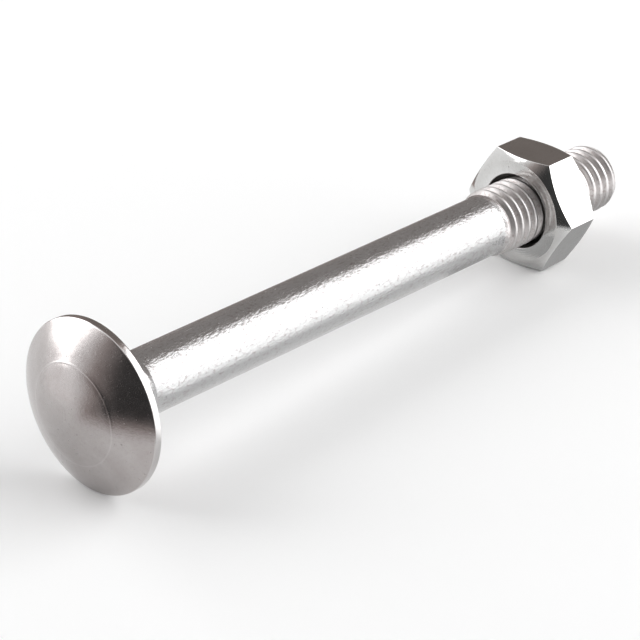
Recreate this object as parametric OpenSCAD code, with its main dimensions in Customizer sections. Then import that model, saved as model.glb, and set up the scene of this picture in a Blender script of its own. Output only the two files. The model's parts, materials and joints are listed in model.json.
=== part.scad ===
// Carriage bolt with its hexagon nut, in millimetres.
// The bolt lies as it comes to rest on a table: on the rim of its head and on one flat of its nut, with its
// tip a little lower than its head. The origin is the centre of the bearing face under the head. The axis
// runs from there along +X, tipped down by the rest angle, and +Z is up.

/* [Head] */
// Diameter of the head
head_d = 23.7; // [20:0.1:30]
// Height of the head, from its bearing face to its crown
head_h = 5.1; // [3.8:0.05:8]
// Thickness of the head's rim
rim_t = 1.3; // [0.8:0.05:2.5]
// Rounding of the rim's two edges
rim_round = 0.3; // [0.1:0.05:0.4]
// Diameter of the raised centre of the dome, left by the forging die
crown_d = 13.8; // [6:0.1:18]
// Step of the raised centre above the dome
crown_step = 0.06; // [0.04:0.01:0.3]

/* [Square neck] */
// Width of the square neck, across its flats
neck_w = 9.9; // [9.2:0.05:12]
// Depth of the square neck below the bearing face, with its taper
neck_h = 6.4; // [5.2:0.1:9]
// Diameter that the neck's four corners are rounded to
neck_corner_d = 13; // [12.2:0.1:14]
// Length of the taper from the neck's flats down to the shank
neck_taper = 1.1; // [0.5:0.1:1.6]
// Turn of the square neck about the bolt's axis, in degrees
neck_turn = 53; // [0:1:89]

/* [Shank and thread] */
// Length of the bolt, from the bearing face to the tip
bolt_l = 100; // [85:1:160]
// Diameter of the plain shank, which is the blank that the thread is rolled from
shank_d = 8.8; // [8.6:0.02:9.1]
// Length of the thread, back from the tip
thread_l = 25.5; // [22:0.5:40]
// Pitch of the thread
pitch = 1.5; // [1.25:0.05:2]
// Diameter over the thread's crests
crest_d = 9.85; // [9.7:0.01:10]
// Width of each crest at the top of its flanks
crest_w = 0.3; // [0.15:0.01:0.4]
// How much the rolled crest is rounded over
crest_round = 0.07; // [0.02:0.01:0.12]
// Length over which the first turn of the thread rises from the shank
thread_rise = 1.6; // [0.8:0.1:4]
// Diameter of the flat at the tip, inside its taper
tip_d = 9; // [8:0.1:9.4]
// Length of the taper at the tip
tip_taper = 1; // [0.4:0.1:2]
// Turn of the thread about the bolt's axis, in degrees
thread_turn = 101; // [0:1:359]

/* [Nut] */
// Width of the nut across its flats
nut_af = 16.6; // [15.4:0.1:19]
// Thickness of the nut
nut_m = 7.4; // [5:0.1:9]
// Length of the thread that stands past the nut
thread_past = 10.5; // [2:0.1:12.5]
// Diameter of the nut's round faces, where its corner chamfers begin
nut_face_d = 15.2; // [14:0.1:15.4]
// Angle of the corner chamfers to the nut's faces, in degrees
nut_chamfer_a = 30; // [15:1:40]
// Diameter of the countersinks at the two ends of the nut's hole
countersink_d = 11.3; // [10.4:0.1:12.5]
// Depth of the countersinks
countersink_h = 1.3; // [0.5:0.1:2]
// Radial gap between the thread's crests and the nut's hole
thread_gap = 0.05; // [0.02:0.01:0.1]

/* [Hidden] */
$fn = 96;

head_r = head_d / 2;
shank_r = shank_d / 2;
crest_r = crest_d / 2;
tip_r = tip_d / 2;
nut_r = nut_af / 2;
face_r = nut_face_d / 2;
nut_hole_r = crest_r + thread_gap;
sink_slope = (countersink_d / 2 - nut_hole_r) / countersink_h;
nut_at = bolt_l - thread_past - nut_m; // from the bearing face under the head to the nut
over = 1; // how far a cutting or joining form runs past a face

// Rest angle: the line that touches the head's rim and the far edge of the nut's lower flat
flat_end = (nut_r - face_r) * tan(nut_chamfer_a);
rest_run = nut_at + nut_m - flat_end + rim_round;
rest_a = atan((head_r - nut_r) / rest_run);

// Dome: a ball that meets the rim's rounded edge without a corner
dome_h = head_h - crown_step - rim_t + rim_round;
edge_at = head_r - rim_round;
dome_r = (edge_at * edge_at + dome_h * dome_h - rim_round * rim_round) / (2 * (dome_h - rim_round));
meet_r = edge_at * dome_r / (dome_r - rim_round);
meet_z = crown_step - head_h + dome_r - sqrt(dome_r * dome_r - meet_r * meet_r);

// Thread: a skin whose rows follow the helix, each row a place across the width of one pitch
root_r = crest_r - 0.6134 * pitch;
flank_tan = tan(30);
root_at = crest_w / 2 + (crest_r - crest_round - root_r) * flank_tan;
foot_r = shank_r - 0.03; // the skin starts just inside the shank's end, so the two meet in clean edges
thread_from = bolt_l - thread_l;
row_z = [0, crest_w / 2, root_at, pitch - root_at, pitch - crest_w / 2];
row_r = [crest_r, crest_r - crest_round, root_r, root_r, crest_r - crest_round];
rows = len(row_z);
turn_steps = 36;
last_row = rows * (ceil(thread_l / pitch) + 1);

// A point of the skin: its place along the bolt, held between the thread's start and the tip. The thread
// rises from the shank at its start, and its grooves run out at 45 degrees against the flat of the tip.
function along(i, j) = thread_from - pitch + pitch * floor(i / rows) + row_z[i % rows]
    + pitch * j / turn_steps;
function held(z) = min(max(z, thread_from), bolt_l);
function risen(z) = min(1, (z - thread_from) / thread_rise);
function tapered(r, z) = min(r, tip_r + (crest_r - tip_r) * (bolt_l - z) / tip_taper);
function skin_r(i, z) = max(tapered(foot_r + risen(z) * (row_r[i % rows] - foot_r), z), tip_r + z - bolt_l);
function skin_point(i, j) = let (z = held(along(i, j)), r = skin_r(i, z), a = 360 * j / turn_steps)
    [r * cos(a), r * sin(a), z];

// Rows that lie past an end share that end's ring, so the skin closes with no folded faces
function ring_low(j) = (last_row + 1) * turn_steps + j;
function ring_high(j) = ring_low(j) + turn_steps;
function ring_joint(j) = ring_high(j) + turn_steps;
function skin_at(i, j) = along(i, j) <= thread_from ? ring_low(j)
    : along(i, j) >= bolt_l ? ring_high(j)
    : i * turn_steps + j;
function skin_next(i, j) = j < turn_steps ? skin_at(i, j)
    : i + rows > last_row ? ring_high(0)
    : skin_at(i + rows, 0);
function whole(t) = t[0] != t[1] && t[1] != t[2] && t[2] != t[0];

module turned(points) {
    rotate_extrude() polygon(points);
}

module thread() {
    skin = [for (i = [0:last_row], j = [0:turn_steps - 1]) skin_point(i, j)];
    low = [for (j = [0:turn_steps - 1]) let (a = 360 * j / turn_steps)
        [foot_r * cos(a), foot_r * sin(a), thread_from]];
    high = [for (j = [0:turn_steps - 1]) let (a = 360 * j / turn_steps)
        [tip_r * cos(a), tip_r * sin(a), bolt_l]];
    joint = [for (p = low) [p[0], p[1], thread_from - over]];
    sides = [for (i = [0:last_row - 1], j = [0:turn_steps - 1])
        let (p = skin_next(i, j), q = skin_next(i, j + 1),
            s = skin_next(i + 1, j + 1), t = skin_next(i + 1, j))
        each [[p, s, q], [p, t, s]]];
    foot = [for (j = [0:turn_steps - 1]) let (n = (j + 1) % turn_steps)
        each [[ring_joint(j), ring_low(n), ring_joint(n)], [ring_joint(j), ring_low(j), ring_low(n)]]];
    ends = [[for (j = [0:turn_steps - 1]) ring_joint(j)],
        [for (j = [turn_steps - 1:-1:0]) ring_high(j)]];
    rotate(thread_turn)
        polyhedron(concat(skin, low, high, joint),
            concat([for (f = sides) if (whole(f)) f], foot, ends));
}

module head() {
    rotate_extrude() {
        // The dome, down to where it meets the rim's rounded front edge
        intersection() {
            translate([0, crown_step - head_h + dome_r]) circle(dome_r);
            translate([0, crown_step - head_h]) square([meet_r, meet_z + head_h - crown_step]);
        }
        // The raised centre is the same ball, set out by the step
        intersection() {
            translate([0, dome_r - head_h]) circle(dome_r);
            translate([0, -head_h]) square([crown_d / 2, head_h]);
        }
        // The rim, with its two edges rounded
        translate([0, meet_z]) square([edge_at, -meet_z]);
        translate([0, rim_round - rim_t]) square([head_r, rim_t - 2 * rim_round]);
        for (z = [rim_round - rim_t, -rim_round])
            translate([edge_at, z]) circle(rim_round);
    }
}

// The square neck: its corners are cut back at 45 degrees to the flats, and a cone runs into the shank
module neck() {
    half_w = neck_w / 2;
    corner_r = neck_corner_d / 2;
    cone_from = neck_h - neck_taper;
    sunk = 0.2; // how far the cone's end lies inside the shank
    cone_to = neck_h + sunk * neck_taper / (half_w - shank_r);
    rotate(neck_turn) intersection() {
        translate([-half_w, -half_w, -over]) cube([neck_w, neck_w, neck_h + 2 * over]);
        turned([[0, -over], [corner_r, -over], [corner_r, cone_from + half_w - corner_r],
            [half_w, cone_from], [shank_r - sunk, cone_to], [0, cone_to]]);
    }
}

module bolt() {
    color([0.74, 0.74, 0.75]) rotate([0, 90 + rest_a, 0]) {
        head();
        neck();
        translate([0, 0, -over]) cylinder(h = thread_from + over, r = shank_r);
        thread();
    }
}

module nut() {
    color([0.66, 0.66, 0.67]) rotate([0, 90 + rest_a, 0]) translate([0, 0, nut_at]) difference() {
        intersection() {
            rotate(30) cylinder(h = nut_m, r = nut_r / cos(30), $fn = 6);
            turned([[0, 0], [face_r, 0], [face_r + nut_m / 2 / tan(nut_chamfer_a), nut_m / 2],
                [face_r, nut_m], [0, nut_m]]);
        }
        translate([0, 0, -over]) cylinder(h = nut_m + 2 * over, r = nut_hole_r);
        for (end = [0, 1]) translate([0, 0, end * nut_m]) mirror([0, 0, end])
            translate([0, 0, -over]) cylinder(h = countersink_h + over,
                r1 = countersink_d / 2 + over * sink_slope, r2 = nut_hole_r);
    }
}

bolt();
nut();
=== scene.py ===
import json
import math

import bmesh
import bpy
from mathutils import Matrix, Vector


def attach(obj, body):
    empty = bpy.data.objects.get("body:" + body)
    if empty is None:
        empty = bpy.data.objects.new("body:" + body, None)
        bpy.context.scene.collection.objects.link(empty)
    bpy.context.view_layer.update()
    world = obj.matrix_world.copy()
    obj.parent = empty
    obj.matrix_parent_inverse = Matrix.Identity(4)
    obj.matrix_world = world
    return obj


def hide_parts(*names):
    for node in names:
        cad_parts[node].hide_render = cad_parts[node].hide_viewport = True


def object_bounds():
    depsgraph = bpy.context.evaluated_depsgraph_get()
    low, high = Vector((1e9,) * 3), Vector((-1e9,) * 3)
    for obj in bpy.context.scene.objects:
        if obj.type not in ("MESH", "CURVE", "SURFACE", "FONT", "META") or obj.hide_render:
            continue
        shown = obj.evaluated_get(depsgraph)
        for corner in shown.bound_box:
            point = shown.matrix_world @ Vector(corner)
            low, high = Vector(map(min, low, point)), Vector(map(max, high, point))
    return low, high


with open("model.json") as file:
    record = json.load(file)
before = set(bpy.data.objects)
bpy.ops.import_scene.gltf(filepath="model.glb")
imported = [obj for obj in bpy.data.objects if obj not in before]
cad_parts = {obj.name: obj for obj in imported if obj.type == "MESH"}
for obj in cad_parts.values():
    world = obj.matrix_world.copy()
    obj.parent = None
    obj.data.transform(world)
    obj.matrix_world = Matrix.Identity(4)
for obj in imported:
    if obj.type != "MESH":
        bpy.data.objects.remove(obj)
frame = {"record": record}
cad_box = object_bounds()

# Camera
# It looks down past the head along the bolt, with a long lens: the head is near, at the lower left, and the
# tip is far, at the upper right. Its heading is its turn from +X, and its dip is how far it looks down.
CAMERA_AT = Vector((-0.19796, -0.22352, 0.17528))
CAMERA_HEADING = math.radians(43.104)
CAMERA_DIP = math.radians(28.802)
CAMERA_ROLL = math.radians(-0.175)
LENS_MM = 155.65
SENSOR_MM = 36.0
NEAREST = 0.01

camera_data = bpy.data.cameras.new("camera")
camera_data.lens = LENS_MM
camera_data.sensor_width = SENSOR_MM
camera_data.clip_start = NEAREST
camera = bpy.data.objects.new("camera", camera_data)
level = Matrix.Rotation(CAMERA_HEADING - math.pi / 2, 4, "Z")
dipped = Matrix.Rotation(math.pi / 2 - CAMERA_DIP, 4, "X")
rolled_over = Matrix.Rotation(CAMERA_ROLL, 4, "Z")
camera.matrix_world = Matrix.Translation(CAMERA_AT) @ level @ dipped @ rolled_over
bpy.context.scene.collection.objects.link(camera)
bpy.context.scene.camera = camera

# Bolt
# One piece of steel wire: the head and the square neck are cold forged, the thread is rolled into its end,
# and the whole is plated with bright zinc. Its skin is turned in one go, from the crown to the tip, and the
# square neck and the helix of the thread are then pressed into it. Sizes are in millimetres.
MM = 0.001
SAME_PLACE = 1e-3
HEAD_R = 11.85
HEAD_H = 5.1
RIM_T = 1.3
RIM_ROUND = 0.3
EDGE_R = HEAD_R - RIM_ROUND
CROWN_R = 6.9
CROWN_STEP = 0.06
STEP_HALF = 0.8
BEAD_HALF = 0.2
BEAD_H = 0.018
NECK_HALF = 4.95
NECK_H = 6.4
NECK_CORNER_R = 6.5
NECK_TAPER = 1.1
NECK_TURN = math.radians(53)
SHANK_R = 4.4
BOLT_L = 100.0
THREAD_FROM = 74.5
THREAD_RISE = 1.6
THREAD_TURN = math.radians(101)
PITCH = 1.5
FLANK_TAN = math.tan(math.radians(30))
CREST_R = 4.925
CREST_HALF = 0.29
CREST_SOFT = 0.2
ROOT_R = 4.12
TIP_R = 4.5
TIP_TAPER = 1.0
RUBBED_BAND = 0.12

TURN_STEPS = 160
CROWN_ROWS = 22
STEP_ROWS = 32
DOME_ROWS = 34
ROUND_ROWS = 6
BEARING_ROWS = 5
NECK_ROWS = 18
CONE_ROWS = 4
SHANK_ROWS = 30
ROWS_A_PITCH = 22
TIP_ROWS = 4

AXIS = Vector(frame["record"]["behaviour"]["joints"][0]["axis"]).normalized()
REST_ANGLE = math.atan2(-AXIS.z, AXIS.x)


def place_on_axis(bm):
    """Turns a shape modelled in millimetres along +Z onto the bolt's axis, in metres."""
    lay = Matrix.Rotation(math.pi / 2 + REST_ANGLE, 4, "Y") @ Matrix.Scale(MM, 4)
    bmesh.ops.transform(bm, matrix=lay, verts=bm.verts)


def turn_profile(points, steps, ring=False):
    """A skin turned about the Z axis from (radius, place along the axis) points."""
    bm = bmesh.new()
    line = [bm.verts.new((r, 0.0, z)) for r, z in points]
    pairs = list(zip(line, line[1:])) + ([(line[-1], line[0])] if ring else [])
    edges = [bm.edges.new(pair) for pair in pairs]
    bmesh.ops.spin(bm, geom=line + edges, cent=(0, 0, 0), axis=(0, 0, 1), angle=2 * math.pi,
                   steps=steps, use_merge=True)
    bmesh.ops.remove_doubles(bm, verts=bm.verts, dist=1e-5)
    bmesh.ops.recalc_face_normals(bm, faces=bm.faces)
    return bm


def arc(centre, radius, start, end, count):
    """Points of an arc, as (radius from the axis, place along it). Angles are in degrees from outward."""
    angles = [math.radians(start + (end - start) * k / count) for k in range(count + 1)]
    return [(centre[0] + radius * math.cos(a), centre[1] + radius * math.sin(a)) for a in angles]


def spaced(start, end, count):
    """Even places from after the start up to the end."""
    return [start + (end - start) * k / count for k in range(1, count + 1)]


def share(value, none, full):
    """How far a value has come from none to full, between 0 and 1."""
    return min(1.0, max(0.0, (value - none) / (full - none)))


def rounding(first, second, reach):
    """How far a rounded corner lies inside the sharp one, where two lines cross."""
    near = max(0.0, reach - abs(first - second)) / reach
    return near * near * reach / 4


def thread_radius(z, angle, crest, root, crest_half, soft):
    """Radius of the helical skin: sloping flanks between a rounded crest and root."""
    place = (z - THREAD_FROM - PITCH * (angle - THREAD_TURN) / (2 * math.pi)) % PITCH
    flank = crest - (min(place, PITCH - place) - crest_half) / FLANK_TAN
    top = min(flank, crest) - rounding(flank, crest, soft * 2)
    return max(top, root) + rounding(top, root, soft * 3)


def neck_radius(z, angle):
    """Outline of the square neck, with its corners rounded and tapered away at the end."""
    a = angle - NECK_TURN
    flat = NECK_HALF / max(abs(math.cos(a)), abs(math.sin(a)))
    from_cone = NECK_H - NECK_TAPER - z
    cone = NECK_HALF + from_cone * (1.0 if from_cone > 0 else (NECK_HALF - SHANK_R) / NECK_TAPER)
    return min(flat, NECK_CORNER_R, cone)


def head_profile():
    """The head's outline, from the middle of its crown to the edge of its bearing face."""
    dome_h = HEAD_H - CROWN_STEP - RIM_T + RIM_ROUND
    dome_r = (EDGE_R ** 2 + dome_h ** 2 - RIM_ROUND ** 2) / (2 * (dome_h - RIM_ROUND))
    dome_centre = CROWN_STEP - HEAD_H + dome_r
    rim_slope = math.degrees(math.asin(EDGE_R / (dome_r - RIM_ROUND)))
    step_in = math.degrees(math.asin((CROWN_R - STEP_HALF) / dome_r))
    step_out = math.degrees(math.asin((CROWN_R + STEP_HALF) / dome_r))

    points = arc((0, dome_centre - CROWN_STEP), dome_r, -90, -90 + step_in, CROWN_ROWS)
    # The step of the raised centre falls in a soft curve, with a fine bead along its middle
    for k in range(1, STEP_ROWS):
        across = k / STEP_ROWS
        off = STEP_HALF * (2 * across - 1)
        lift = CROWN_STEP * (1 - across * across * (3 - 2 * across))
        lift += BEAD_H * math.cos(math.pi / 2 * min(1.0, abs(off) / BEAD_HALF)) ** 2
        r = CROWN_R + off
        points.append((r, dome_centre - math.sqrt(dome_r ** 2 - r ** 2) - lift))
    points += arc((0, dome_centre), dome_r, -90 + step_out, -90 + rim_slope, DOME_ROWS)
    points += arc((EDGE_R, RIM_ROUND - RIM_T), RIM_ROUND, -90 + rim_slope, 0, ROUND_ROWS)[1:]
    points += arc((EDGE_R, -RIM_ROUND), RIM_ROUND, 0, 90, ROUND_ROWS)
    return points


def shank_profile():
    """The outline behind the head, from the bearing face to the middle of the tip."""
    cone_from = NECK_H - NECK_TAPER
    thread_rows = round((BOLT_L - THREAD_FROM) / PITCH * ROWS_A_PITCH)
    points = [(r, 0.0) for r in spaced(EDGE_R, NECK_HALF, BEARING_ROWS)]
    points += [(NECK_HALF, z) for z in spaced(0.0, cone_from, NECK_ROWS)]
    points += list(zip(spaced(NECK_HALF, SHANK_R, CONE_ROWS), spaced(cone_from, NECK_H, CONE_ROWS)))
    points += [(SHANK_R, z) for z in spaced(NECK_H, THREAD_FROM, SHANK_ROWS)]
    points += [(SHANK_R, z) for z in spaced(THREAD_FROM, BOLT_L, thread_rows)]
    points += [(r, BOLT_L) for r in spaced(TIP_R, 0.0, TIP_ROWS)]
    return points


def pressed_radius(r, z, angle):
    """Where a point of the turned skin stands once the neck and the thread are pressed in."""
    if abs(z) < SAME_PLACE and r < EDGE_R:
        out = (r - NECK_HALF) / (EDGE_R - NECK_HALF)
        return neck_radius(0.0, angle) * (1 - out) + EDGE_R * out
    if SAME_PLACE < z < NECK_H - SAME_PLACE and r > SHANK_R:
        return neck_radius(z, angle)
    if z > THREAD_FROM - SAME_PLACE and abs(r - SHANK_R) < SAME_PLACE:
        rise = share(z, THREAD_FROM, THREAD_FROM + THREAD_RISE)
        cut = thread_radius(z, angle, CREST_R, ROOT_R, CREST_HALF, CREST_SOFT)
        taper = TIP_R + (CREST_R - TIP_R) * (BOLT_L - z) / TIP_TAPER
        return max(min(SHANK_R + rise * (cut - SHANK_R), taper), TIP_R + z - BOLT_L)
    return r


def mark_bolt(bm):
    """Gives each point its share of each finish: edges rubbed bright (wear), painted shade and a rougher skin
    in the thread's roots (hollow_shade_and_dull), the haze of the drawn wire (bloom), the matt skin of the
    rolled thread (matt) and its bright flanks (burnish)."""
    wear, hollow_shade_and_dull, bloom, matt, burnish = (
        bm.verts.layers.float.new(name) for name in ("wear", "hollow_shade_and_dull", "bloom", "matt", "burnish"))
    wire_from = 0.1
    tip_band = 0.3
    corner_band = 0.2
    for v in bm.verts:
        r, z = math.hypot(v.co.x, v.co.y), v.co.z
        v[bloom] = 1.0 if z > wire_from else 0.0
        if z > THREAD_FROM:
            rise = share(z, THREAD_FROM, THREAD_FROM + THREAD_RISE)
            # Depth goes from 0 at the crests to 1 at the roots, with the burnished flanks between them
            depth = (CREST_R - r) / (CREST_R - ROOT_R)
            v[matt] = rise
            v[burnish] = rise * min(share(depth, 0.1, 0.267), share(depth, 0.94, 0.74))
            # Painted shade: the roots of the thread are marked to be darkened in colour, and made rougher
            v[hollow_shade_and_dull] = rise * share(depth, 0.75, 1.0) * 0.95 if z < BOLT_L - TIP_TAPER else 0.0
            v[wear] = 1.0 if r > CREST_R - RUBBED_BAND or z > BOLT_L - tip_band else 0.0
        elif z < wire_from and r > HEAD_R - RUBBED_BAND:
            v[wear] = 1.0
        elif z < -RIM_T and abs(r - CROWN_R) < BEAD_HALF:
            v[wear] = 0.3 + 0.3 * math.cos(math.pi * (r - CROWN_R) / BEAD_HALF)
        elif 0 < z < NECK_H and r > NECK_CORNER_R - corner_band:
            v[wear] = 1.0


def dress(bm, mesh_name):
    """Lays a finished skin on the bolt's axis, and makes it an object that stands at the origin."""
    place_on_axis(bm)
    mesh = bpy.data.meshes.new(mesh_name)
    bm.to_mesh(mesh)
    bm.free()
    piece = bpy.data.objects.new(mesh_name, mesh)
    bpy.context.scene.collection.objects.link(piece)
    return piece


bolt_bm = turn_profile(head_profile() + shank_profile(), TURN_STEPS)
for v in bolt_bm.verts:
    r = math.hypot(v.co.x, v.co.y)
    if r > SAME_PLACE:
        pressed = pressed_radius(r, v.co.z, math.atan2(v.co.y, v.co.x)) / r
        v.co.x *= pressed
        v.co.y *= pressed
mark_bolt(bolt_bm)
for f in bolt_bm.faces:
    f.smooth = True
bolt = dress(bolt_bm, "bolt_skin")

# The bolt's zinc, and the nut's, is electroplated over clean steel. The head and the nut keep a mirror gloss,
# the drawn wire is hazed and grainy, and the rolled thread is matt, with brighter flanks.
HAZED_GREY = (0.475, 0.475, 0.477)
BURNISHED_GREY = (0.64, 0.612, 0.605)
RUBBED_GREY = (0.78, 0.78, 0.78)
SPECKLE_SHADE = (0.66, 0.6, 0.585)
HOLLOW_SHADE = (0.1, 0.096, 0.093)
GRAIN_STRETCH = (0.6, 1.0, 1.0)
SCRATCH_DEEP = 1.2e-6
PIT_DEEP = 9e-6
HEAD_GRAIN = 0.09
LEAST_GLOSS = 0.05


def add(tree, kind, **values):
    """A node with its settings, and its plain inputs by name."""
    node = tree.nodes.new(kind)
    for name, value in values.items():
        if name[0].isupper():
            node.inputs[name.replace("_", " ")].default_value = value
        else:
            setattr(node, name, value)
    return node


def feed(tree, socket, value):
    """Sets a socket to a number or a colour, or joins a node's output to it."""
    if isinstance(value, bpy.types.NodeSocket):
        tree.links.new(value, socket)
    elif isinstance(value, tuple):
        socket.default_value = (*value, 1.0)
    else:
        socket.default_value = value


def reckon(tree, kind, first, second=0.0):
    """Two numbers added, multiplied and so on; either may be a node's output."""
    node = add(tree, "ShaderNodeMath", operation=kind)
    feed(tree, node.inputs[0], first)
    feed(tree, node.inputs[1], second)
    return node.outputs[0]


def ramp(tree, value, start, end, low=0.0, high=1.0):
    """A number that goes from low to high as a node's output goes from start to end."""
    node = add(tree, "ShaderNodeMapRange", clamp=True, From_Min=start, From_Max=end, To_Min=low, To_Max=high)
    tree.links.new(value, node.inputs["Value"])
    return node.outputs["Result"]


def tinted(tree, part, first, second, kind="MIX"):
    """The first colour turned towards the second, or multiplied by it, by a part of 1."""
    node = add(tree, "ShaderNodeMix", data_type="RGBA", blend_type=kind)
    feed(tree, node.inputs["Factor"], part)
    feed(tree, node.inputs["A"], first)
    feed(tree, node.inputs["B"], second)
    return node.outputs["Result"]


def marked(tree, name):
    """A finish's share, which the points of the mesh carry."""
    return add(tree, "ShaderNodeAttribute", attribute_name=name).outputs["Fac"]


def stretched(tree, where, scale, turn=(0.0, 0.0, 0.0)):
    """Places scaled along each axis, then turned."""
    node = add(tree, "ShaderNodeMapping", Scale=scale, Rotation=turn)
    tree.links.new(where, node.inputs["Vector"])
    return node.outputs["Vector"]


def noise(tree, where, **values):
    """A noise over the given places."""
    node = add(tree, "ShaderNodeTexNoise", **values)
    tree.links.new(where, node.inputs["Vector"])
    return node.outputs["Fac"]


def fine_lines(tree, where, stretch, turn, least):
    """Thin marks: the peaks of a noise that is drawn out one way."""
    drawn = noise(tree, stretched(tree, where, stretch, turn), Scale=1.0, Detail=2.0, Roughness=0.5)
    return ramp(tree, drawn, least, least + 0.05)


def plating_pits(tree, where):
    """Pits: the middles of a fifth of the scattered cells."""
    cells = add(tree, "ShaderNodeTexVoronoi", Scale=0.62, Randomness=1.0)
    tree.links.new(where, cells.inputs["Vector"])
    drawn = add(tree, "ShaderNodeSeparateColor")
    tree.links.new(cells.outputs["Color"], drawn.inputs["Color"])
    middle = ramp(tree, cells.outputs["Distance"], 0.12, 0.04)
    return reckon(tree, "MULTIPLY", middle, reckon(tree, "GREATER_THAN", drawn.outputs["Red"], 0.8))


def turning_rings(tree, where, ring_mm):
    """Faint rings round the axis, left by the forging die and the nut's chamfering tool."""
    parts = add(tree, "ShaderNodeSeparateXYZ")
    tree.links.new(where, parts.inputs["Vector"])
    squares = [reckon(tree, "MULTIPLY", parts.outputs[side], parts.outputs[side]) for side in ("Y", "Z")]
    out = reckon(tree, "SQRT", reckon(tree, "ADD", *squares))
    return reckon(tree, "SINE", reckon(tree, "MULTIPLY", out, 2 * math.pi / ring_mm))


def plating(name, dark, light, rough, grain_mm, grain_deep, wave_deep, ring_mm, ring_deep):
    """Bright zinc over steel: fine grain, soft cloudy patches, drawn streaks, scratches and small pits. Edges
    are rubbed brighter, and hollows are rougher and darkened by painted shade. Grain and rings are in
    millimetres, depths in metres."""
    plate = bpy.data.materials.new(name)
    plate.use_nodes = True
    tree = plate.node_tree
    shader = tree.nodes["Principled BSDF"]
    link = tree.links.new

    coords = add(tree, "ShaderNodeTexCoord")
    where = stretched(tree, coords.outputs["Object"], (1 / MM, 1 / MM, 1 / MM), (0.0, -REST_ANGLE, 0.0))
    grain = noise(tree, stretched(tree, where, GRAIN_STRETCH), Scale=1 / grain_mm, Detail=3.0, Roughness=0.6)
    cloud = noise(tree, where, Scale=0.21, Detail=4.0, Roughness=0.62, Distortion=0.6)
    wave = noise(tree, where, Scale=0.13, Detail=1.5, Roughness=0.5)
    streak = fine_lines(tree, where, stretch=(0.035, 2.6, 2.6), turn=(0.0, 0.0, 0.0), least=0.66)
    scrape = fine_lines(tree, where, stretch=(1.9, 1.9, 0.05), turn=(0.6, 0.25, 0.0), least=0.69)
    scratch = reckon(tree, "MAXIMUM", streak, scrape)
    pit = plating_pits(tree, where)
    rings = turning_rings(tree, where, ring_mm)

    hollow_shade_and_dull = marked(tree, "hollow_shade_and_dull")
    bloom = marked(tree, "bloom")
    matt = marked(tree, "matt")
    burnish = marked(tree, "burnish")
    rubbed = reckon(tree, "MULTIPLY", reckon(tree, "POWER", marked(tree, "wear"), 2.0),
                    ramp(tree, cloud, 0.0, 1.0, 0.4, 1.2))

    # Colour: cloudy between two greys, pale where the wire is hazed, speckled by the grain, darkened by
    # painted shade in hollows and darker in pits, and brighter where it is rubbed
    tone = tinted(tree, ramp(tree, cloud, 0.3, 0.7), dark, light)
    smooth_wire = reckon(tree, "MULTIPLY", bloom, reckon(tree, "SUBTRACT", 1.0, matt))
    tone = tinted(tree, smooth_wire, tone, HAZED_GREY)
    tone = tinted(tree, burnish, tone, BURNISHED_GREY)
    speckled = reckon(tree, "ADD", 0.15, reckon(tree, "MULTIPLY", bloom, 0.6))
    tone = tinted(tree, reckon(tree, "MULTIPLY", ramp(tree, grain, 0.52, 0.68), speckled), tone,
                  SPECKLE_SHADE, "MULTIPLY")
    # Painted shade darkens the colour in the thread's roots and the nut's hole; pits are darkened too
    hollow_shade_and_pits = reckon(tree, "MAXIMUM", hollow_shade_and_dull, reckon(tree, "MULTIPLY", pit, 0.4))
    tone = tinted(tree, hollow_shade_and_pits, tone, HOLLOW_SHADE, "MULTIPLY")
    tone = tinted(tree, reckon(tree, "MULTIPLY", rubbed, 0.5), tone, RUBBED_GREY)
    link(tone, shader.inputs["Base Color"])

    # The haze of zinc salts on the drawn wire scatters a little light
    haze = reckon(tree, "MULTIPLY", bloom, ramp(tree, cloud, 0.0, 1.0, 0.14, 0.26))
    link(reckon(tree, "SUBTRACT", 1.0, haze), shader.inputs["Metallic"])

    # Roughness: uneven with the clouds and the grain, then more or less of it for each finish
    gloss = ramp(tree, cloud, 0.0, 1.0, rough - 0.07, rough + 0.09)
    gloss = reckon(tree, "ADD", gloss, ramp(tree, grain, 0.0, 1.0, -0.05, 0.05))
    for finish, change in ((scratch, 0.1), (matt, 0.22), (bloom, -0.03), (hollow_shade_and_dull, 0.3), (rubbed, -0.05)):
        gloss = reckon(tree, "ADD", gloss, reckon(tree, "MULTIPLY", finish, change))
    link(reckon(tree, "MAXIMUM", gloss, LEAST_GLOSS), shader.inputs["Roughness"])

    # Relief, from coarse to fine, each in metres; the grain is full on the drawn wire and faint elsewhere
    drawn_skin = reckon(tree, "MULTIPLY", reckon(tree, "SUBTRACT", bloom, matt), 1.0 - HEAD_GRAIN)
    grained = reckon(tree, "MULTIPLY", grain, reckon(tree, "ADD", HEAD_GRAIN, drawn_skin))
    normal = None
    for height, deep in ((wave, wave_deep), (rings, ring_deep), (grained, grain_deep),
                         (scratch, -SCRATCH_DEEP), (pit, -PIT_DEEP)):
        bump = add(tree, "ShaderNodeBump", Strength=1.0, Distance=abs(deep), invert=deep < 0)
        link(height, bump.inputs["Height"])
        if normal:
            link(normal, bump.inputs["Normal"])
        normal = bump.outputs["Normal"]
    link(normal, shader.inputs["Normal"])
    return plate


bolt.data.materials.append(plating(
    "bolt_zinc", dark=(0.41, 0.378, 0.372), light=(0.47, 0.445, 0.44), rough=0.2,
    grain_mm=0.4, grain_deep=8.5e-5, wave_deep=6e-5, ring_mm=0.7, ring_deep=4e-7))
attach(bolt, "bolt")
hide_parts("bolt")

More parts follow.
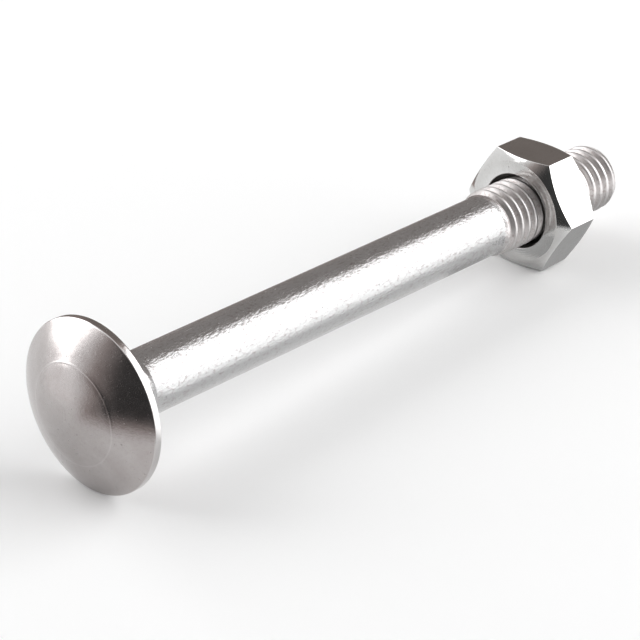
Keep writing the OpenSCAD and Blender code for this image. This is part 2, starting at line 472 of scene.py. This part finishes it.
# Nut
# A hexagon nut, cold formed from bar, chamfered to round faces, countersunk at both ends of its tapped hole,
# then zinc plated. It stands on the thread, 10.5 mm from the tip, with one flat down on the table.
NUT_HALF_AF = 8.3
NUT_M = 7.4
NUT_AT = 82.1
NUT_FACE_R = 7.6
NUT_CHAMFER_TAN = math.tan(math.radians(30))
COUNTERSINK_R = 5.65
COUNTERSINK_H = 1.3
NUT_HOLE_R = 4.975
SINK_SLOPE = (COUNTERSINK_R - NUT_HOLE_R) / COUNTERSINK_H
NUT_ROOT_R = 5.0
NUT_CREST_R = 4.4
NUT_CREST_HALF = 0.32
NUT_THREAD_SOFT = 0.05
NUT_BEVEL = 0.13
HARD_EDGE = math.radians(18)
BEVEL_EDGE = math.radians(9)
NUT_STEPS = 144
SIDE_ROWS = 8
HOLE_ROWS = 110


def hexagon_radius(angle):
    """Distance from the axis to the nut's side; a flat faces straight down."""
    turned = (angle + math.pi / 6) % (math.pi / 3) - math.pi / 6
    return NUT_HALF_AF / math.cos(turned)


def nut_section():
    """The nut's cut outline as a closed ring: round face, side, other face and the hole back again."""
    points = [(COUNTERSINK_R, 0.0), (NUT_FACE_R, 0.0)]
    points += [(NUT_HALF_AF + 1, NUT_M * k / SIDE_ROWS) for k in range(SIDE_ROWS + 1)]
    points += [(NUT_FACE_R, NUT_M), (COUNTERSINK_R, NUT_M)]
    points += [(NUT_ROOT_R, NUT_M - NUT_M * k / HOLE_ROWS) for k in range(1, HOLE_ROWS)]
    return points


def shape_nut(bm):
    """Presses the turned ring into a chamfered hexagon, with the thread and the countersinks in its hole."""
    for v in bm.verts:
        r, z, angle = math.hypot(v.co.x, v.co.y), v.co.z, math.atan2(v.co.y, v.co.x)
        new_r = r
        if r > NUT_HALF_AF + 0.5:
            new_r = hexagon_radius(angle)
            edge = (new_r - NUT_FACE_R) * NUT_CHAMFER_TAN
            v.co.z = edge + (NUT_M - 2 * edge) * z / NUT_M
        elif abs(r - NUT_ROOT_R) < SAME_PLACE:
            cut = thread_radius(z + NUT_AT, angle, NUT_ROOT_R, NUT_CREST_R, NUT_CREST_HALF, NUT_THREAD_SOFT)
            new_r = max(cut, COUNTERSINK_R - SINK_SLOPE * min(z, NUT_M - z))
        v.co.x *= new_r / r
        v.co.y *= new_r / r
    bmesh.ops.recalc_face_normals(bm, faces=bm.faces)


def is_inside(v):
    """Whether a point lies in the nut's hole, countersinks included."""
    return math.hypot(v.co.x, v.co.y) < COUNTERSINK_R - 0.05


def is_sharp(edge, least):
    """Whether two faces meet at the edge at more than the least angle."""
    return len(edge.link_faces) == 2 and edge.calc_face_angle() > least


def mark_nut(bm):
    """Gives each point its share of each finish: a rough hole darkened by painted shade, and edges rubbed
    bright.
    """
    wear = bm.verts.layers.float.new("wear")
    hollow_shade_and_dull = bm.verts.layers.float.new("hollow_shade_and_dull")
    for v in bm.verts:
        # Painted shade: the hole and its countersinks are marked to be darkened in colour, and made rougher
        if is_inside(v):
            v[hollow_shade_and_dull] = 1.0
        elif any(is_sharp(e, BEVEL_EDGE) for e in v.link_edges):
            v[wear] = 1.0


nut_bm = turn_profile(nut_section(), NUT_STEPS, ring=True)
shape_nut(nut_bm)
for f in nut_bm.faces:
    f.smooth = True
hard_edges = [e for e in nut_bm.edges if is_sharp(e, HARD_EDGE) and not any(is_inside(v) for v in e.verts)]
bmesh.ops.bevel(nut_bm, geom=hard_edges, offset=NUT_BEVEL, offset_type="OFFSET", affect="EDGES", segments=3,
                profile=0.5, material=-1, clamp_overlap=True)
for f in nut_bm.faces:
    f.smooth = True
mark_nut(nut_bm)
bmesh.ops.translate(nut_bm, vec=(0, 0, NUT_AT), verts=nut_bm.verts)
nut = dress(nut_bm, "hex_nut")
weighted = nut.modifiers.new("even_normals", "WEIGHTED_NORMAL")
weighted.weight = 80

nut.data.materials.append(plating(
    "nut_zinc", dark=(0.56, 0.555, 0.545), light=(0.60, 0.598, 0.59), rough=0.1,
    grain_mm=0.45, grain_deep=6e-5, wave_deep=2e-5, ring_mm=0.33, ring_deep=5e-7))
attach(nut, "nut")
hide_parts("nut")

# Floor
# A matt white table top, 6 m wide. The bolt rests on it, on the rim of its head and on one flat of its nut.
FLOOR_HALF = 3.0
FLOOR_WHITE = (0.96, 0.96, 0.96, 1.0)

floor_z = cad_box[0].z
floor_bm = bmesh.new()
bmesh.ops.create_grid(floor_bm, x_segments=1, y_segments=1, size=FLOOR_HALF)
bmesh.ops.translate(floor_bm, vec=(0, 0, floor_z), verts=floor_bm.verts)
floor_mesh = bpy.data.meshes.new("floor")
floor_bm.to_mesh(floor_mesh)
floor_bm.free()
floor = bpy.data.objects.new("floor", floor_mesh)
bpy.context.scene.collection.objects.link(floor)
floor_paint = bpy.data.materials.new("floor_paint")
floor_paint.use_nodes = True
floor_shader = floor_paint.node_tree.nodes["Principled BSDF"]
floor_shader.inputs["Base Color"].default_value = FLOOR_WHITE
floor_shader.inputs["Roughness"].default_value = 0.9
floor_shader.inputs["Specular IOR Level"].default_value = 0.1
floor_mesh.materials.append(floor_paint)

# Cloths and cards
# Bright metal shows what stands round it, so dark cloths, pale cards and small grey patches of painted shadow
# hang and lie round the bolt. Only reflections see them, and they throw no shadow. Headings are in degrees
# from
# +X, rises in degrees above the horizon, places in metres, and a colour of 1 is as bright as the room.
CLOTH_AWAY = 1.6
PATCH_LIFT = 0.0003
STRIP_LIFT = 0.0004
SECTOR_LIFT = 0.0006
CLEAR_TO = 0.4
CORE_FROM = 0.35
BROWN = (0.46, 0.40, 0.385)
BLACK = (0.055, 0.055, 0.055)
WARM_EDGE = (0.42, 0.33, 0.31)
WARM_GREY = (0.225, 0.196, 0.182)
SHADE_GREY = (0.46, 0.46, 0.46)
ROOM_WHITE = (1.05, 1.05, 1.05)
PALE_CARD = (1.25, 1.25, 1.25)
LAMP_CARD = (2.3, 2.3, 2.3)


def direction(heading, rise):
    """Unit vector at a heading and a rise."""
    h, e = math.radians(heading), math.radians(rise)
    return Vector((math.cos(e) * math.cos(h), math.cos(e) * math.sin(h), math.sin(e)))


def cloth_paint(name, border, middle, one_sided):
    """Clear at the cloth's edge, then turning from the border's colour to the middle's."""
    paint = bpy.data.materials.new(name)
    paint.use_nodes = True
    tree = paint.node_tree
    tree.nodes.clear()
    fade = marked(tree, "fade")
    glow = add(tree, "ShaderNodeEmission")
    tree.links.new(tinted(tree, ramp(tree, fade, CORE_FROM, 1.0), border, middle), glow.inputs["Color"])
    cover = ramp(tree, fade, 0.0, CLEAR_TO)
    if one_sided:
        side = add(tree, "ShaderNodeNewGeometry")
        cover = reckon(tree, "MULTIPLY", cover, reckon(tree, "SUBTRACT", 1.0, side.outputs["Backfacing"]))
    clear = add(tree, "ShaderNodeBsdfTransparent")
    blend = add(tree, "ShaderNodeMixShader")
    out = add(tree, "ShaderNodeOutputMaterial")
    tree.links.new(cover, blend.inputs["Fac"])
    tree.links.new(clear.outputs[0], blend.inputs[1])
    tree.links.new(glow.outputs[0], blend.inputs[2])
    tree.links.new(blend.outputs[0], out.inputs["Surface"])
    return paint


def spread_cloth(name, columns, rows, place, fade_at, border, middle, one_sided=False):
    """A cloth or card that reflections alone see. Its place and its fade, from 0 at a soft edge to 1, are
    worked out from how far a point is across and up it, as shares of its width and height."""
    bm = bmesh.new()
    fade = bm.verts.layers.float.new("fade")
    grid = []
    for i in range(columns + 1):
        line = []
        for j in range(rows + 1):
            v = bm.verts.new(place(i / columns, j / rows))
            v[fade] = share(fade_at(i / columns, j / rows), 0.0, 1.0)
            line.append(v)
        grid.append(line)
    for left, right in zip(grid, grid[1:]):
        for j in range(rows):
            bm.faces.new((left[j], right[j], right[j + 1], left[j + 1]))
    mesh = bpy.data.meshes.new(name)
    bm.to_mesh(mesh)
    bm.free()
    mesh.materials.append(cloth_paint(name, border, middle, one_sided))
    cloth = bpy.data.objects.new(name, mesh)
    bpy.context.scene.collection.objects.link(cloth)
    cloth.visible_camera = False
    cloth.visible_diffuse = False
    cloth.visible_shadow = False


def hang_cloth(name, headings, rises, soft, border, middle):
    """A curved cloth far round the table, soft at its sides and its top over soft degrees."""
    wide, tall = headings[1] - headings[0], rises[1] - rises[0]
    spread_cloth(name, 48, 24,
                 lambda u, v: direction(headings[0] + wide * u, rises[0] + tall * v) * CLOTH_AWAY,
                 lambda u, v: min(wide * min(u, 1 - u), tall * (1 - v)) / soft, border, middle)


def lay_cloth(name, centre, headings, reach, soft_turn, soft_reach, border, middle):
    """A sector laid on the table round a point, soft at its inner edge and its sides."""
    wide, long = headings[1] - headings[0], reach[1] - reach[0]

    def place(u, v):
        at = direction(headings[0] + wide * u, 0.0) * (reach[0] + long * v * v)
        return Vector((centre[0] + at.x, centre[1] + at.y, floor_z + SECTOR_LIFT))

    spread_cloth(name, 48, 48, place,
                 lambda u, v: min(wide * min(u, 1 - u) / soft_turn, long * v * v / soft_reach),
                 border, middle)


def lay_strip(name, x_reach, y_reach, soft, border, middle):
    """A strip laid on the table beside the bolt, soft at its inner edge and its near end."""
    long, wide = x_reach[1] - x_reach[0], y_reach[1] - y_reach[0]

    def place(u, v):
        return Vector((x_reach[0] + long * u * u, y_reach[0] + wide * v * v, floor_z + STRIP_LIFT))

    spread_cloth(name, 40, 48, place,
                 lambda u, v: min(long * u * u, abs(wide) * v * v) / soft,
                 border, middle)


def lay_patch(name, columns, x_reach, y_reach, soft_x, soft_y, colour):
    """A small patch laid on the table under the bolt, soft all round: a painted shadow that reflections alone
    see.
    """
    long, wide = x_reach[1] - x_reach[0], y_reach[1] - y_reach[0]
    spread_cloth(name, columns, 24,
                 lambda u, v: Vector((x_reach[0] + long * u, y_reach[0] + wide * v, floor_z + PATCH_LIFT)),
                 lambda u, v: min(long * min(u, 1 - u) / soft_x, wide * min(v, 1 - v) / soft_y),
                 colour, colour)


def stand_round(name, along, turns, reach, soft_turn, soft_reach, colour):
    """A card that stands across the bolt's axis, round one side of the shank, with its front to the nut. Its
    turns are in degrees about the axis from +Y, and its place along it is from the bearing face."""
    wide, tall = turns[1] - turns[0], reach[1] - reach[0]
    centre = AXIS * along

    def place(u, v):
        a, r = math.radians(turns[1] - wide * u), reach[0] + tall * v
        return Vector((centre.x, centre.y + r * math.cos(a), max(centre.z + r * math.sin(a), floor_z)))

    spread_cloth(name, 40, 20, place,
                 lambda u, v: min(wide * min(u, 1 - u) / soft_turn, tall * (1 - v) / soft_reach),
                 colour, colour, one_sided=True)


def stand_card(name, start, end, height, soft, colour):
    """A card that stands on the table from start to end, soft at its sides and top over a soft share of its
    size. Its front faces the nut."""
    spread_cloth(name, 12, 12,
                 lambda u, v: Vector((*Vector(start).lerp(Vector(end), u), floor_z + height * v)),
                 lambda u, v: min(u, 1 - u, 1 - v) / soft, colour, colour, one_sided=True)


# Dark cloths: one hung behind the bolt and one behind the camera, and one laid on the table before the bolt
# and one beyond it
hang_cloth("backdrop", headings=(-16.0, 70.0), rises=(-3.0, 74.0), soft=22.0, border=WARM_EDGE,
           middle=WARM_GREY)
hang_cloth("camera_cloth", headings=(145.0, 278.0), rises=(-3.0, 84.0), soft=32.0, border=BROWN, middle=BLACK)
lay_cloth("front_cloth", centre=(0.0, 0.0), headings=(151.0, 278.0), reach=(0.026, 1.5), soft_turn=26.0,
          soft_reach=0.034, border=BROWN, middle=BLACK)
lay_strip("back_cloth", x_reach=(0.022, 1.6), y_reach=(0.029, 1.5), soft=0.012, border=WARM_EDGE,
          middle=WARM_GREY)

# Pale cards: two at the left for the head's crown, and one at the right for the shank and the thread
hang_cloth("left_card", headings=(108.0, 147.0), rises=(-3.0, 7.0), soft=5.0, border=PALE_CARD,
           middle=PALE_CARD)
lay_cloth("head_card", centre=(-0.005, 0.0), headings=(108.0, 147.0), reach=(0.03, 1.58), soft_turn=10.0,
          soft_reach=0.05, border=PALE_CARD, middle=PALE_CARD)
lay_strip("right_card", x_reach=(0.012, 0.6), y_reach=(-0.0145, -0.9), soft=0.036, border=LAMP_CARD,
          middle=LAMP_CARD)

# Small ones by the nut: dark for its right chamfer, white for its left one, and grey patches of painted
# shadow on the table under it and the thread
stand_round("nut_cloth", along=0.069, turns=(158.0, 208.0), reach=(0.0075, 0.032), soft_turn=16.0,
            soft_reach=0.004, colour=BLACK)
stand_card("nut_card", start=(0.07, 0.01), end=(0.084, 0.0324), height=0.026, soft=0.2, colour=ROOM_WHITE)
# Painted shadow: grey patches on the table under the nut and the thread, seen only in the metal
lay_patch("tip_shadow_patch", columns=36, x_reach=(0.0815, 0.108), y_reach=(-0.013, 0.004), soft_x=0.003,
          soft_y=0.003, colour=SHADE_GREY)
lay_patch("thread_shadow_patch", columns=24, x_reach=(0.0685, 0.0785), y_reach=(-0.006, 0.0065), soft_x=0.004,
          soft_y=0.005, colour=SHADE_GREY)

# Lamps and room
# Two large soft lamps, one on each side of the table, in a white room whose walls give only a little light of
# their own. The camera and the metal see those walls as plain white.
LAMP_AWAY = 1.1
ROOM_SEEN = 1.0
ROOM_FILL = 0.45


def hang_lamp(name, heading, rise, width, height, watts):
    """A rectangular lamp that faces the origin."""
    data = bpy.data.lights.new(name, "AREA")
    data.shape = "RECTANGLE"
    data.size, data.size_y = width, height
    data.energy = watts
    lamp = bpy.data.objects.new(name, data)
    at = direction(heading, rise) * LAMP_AWAY
    lamp.location = at
    lamp.rotation_euler = (-at).to_track_quat("-Z", "Y").to_euler()
    lamp.visible_camera = False
    bpy.context.scene.collection.objects.link(lamp)


hang_lamp("right_lamp", heading=-42.0, rise=27.0, width=1.35, height=1.05, watts=10.7)
hang_lamp("left_lamp", heading=105.0, rise=27.0, width=1.3, height=1.05, watts=10.3)

world = bpy.data.worlds.new("room")
world.use_nodes = True
room = world.node_tree
room.nodes.clear()
walls = add(room, "ShaderNodeBackground", Color=(1.0, 1.0, 1.0, 1.0), Strength=ROOM_SEEN)
fill = add(room, "ShaderNodeBackground", Color=(1.0, 1.0, 1.0, 1.0), Strength=ROOM_FILL)
path = add(room, "ShaderNodeLightPath")
seen = reckon(room, "MAXIMUM", path.outputs["Is Camera Ray"], path.outputs["Is Glossy Ray"])
seen = reckon(room, "MAXIMUM", seen, path.outputs["Is Transmission Ray"])
either = add(room, "ShaderNodeMixShader")
room_out = add(room, "ShaderNodeOutputWorld")
room.links.new(seen, either.inputs["Fac"])
room.links.new(fill.outputs[0], either.inputs[1])
room.links.new(walls.outputs[0], either.inputs[2])
room.links.new(either.outputs[0], room_out.inputs["Surface"])
bpy.context.scene.world = world

bpy.context.scene.view_settings.view_transform = "Standard"
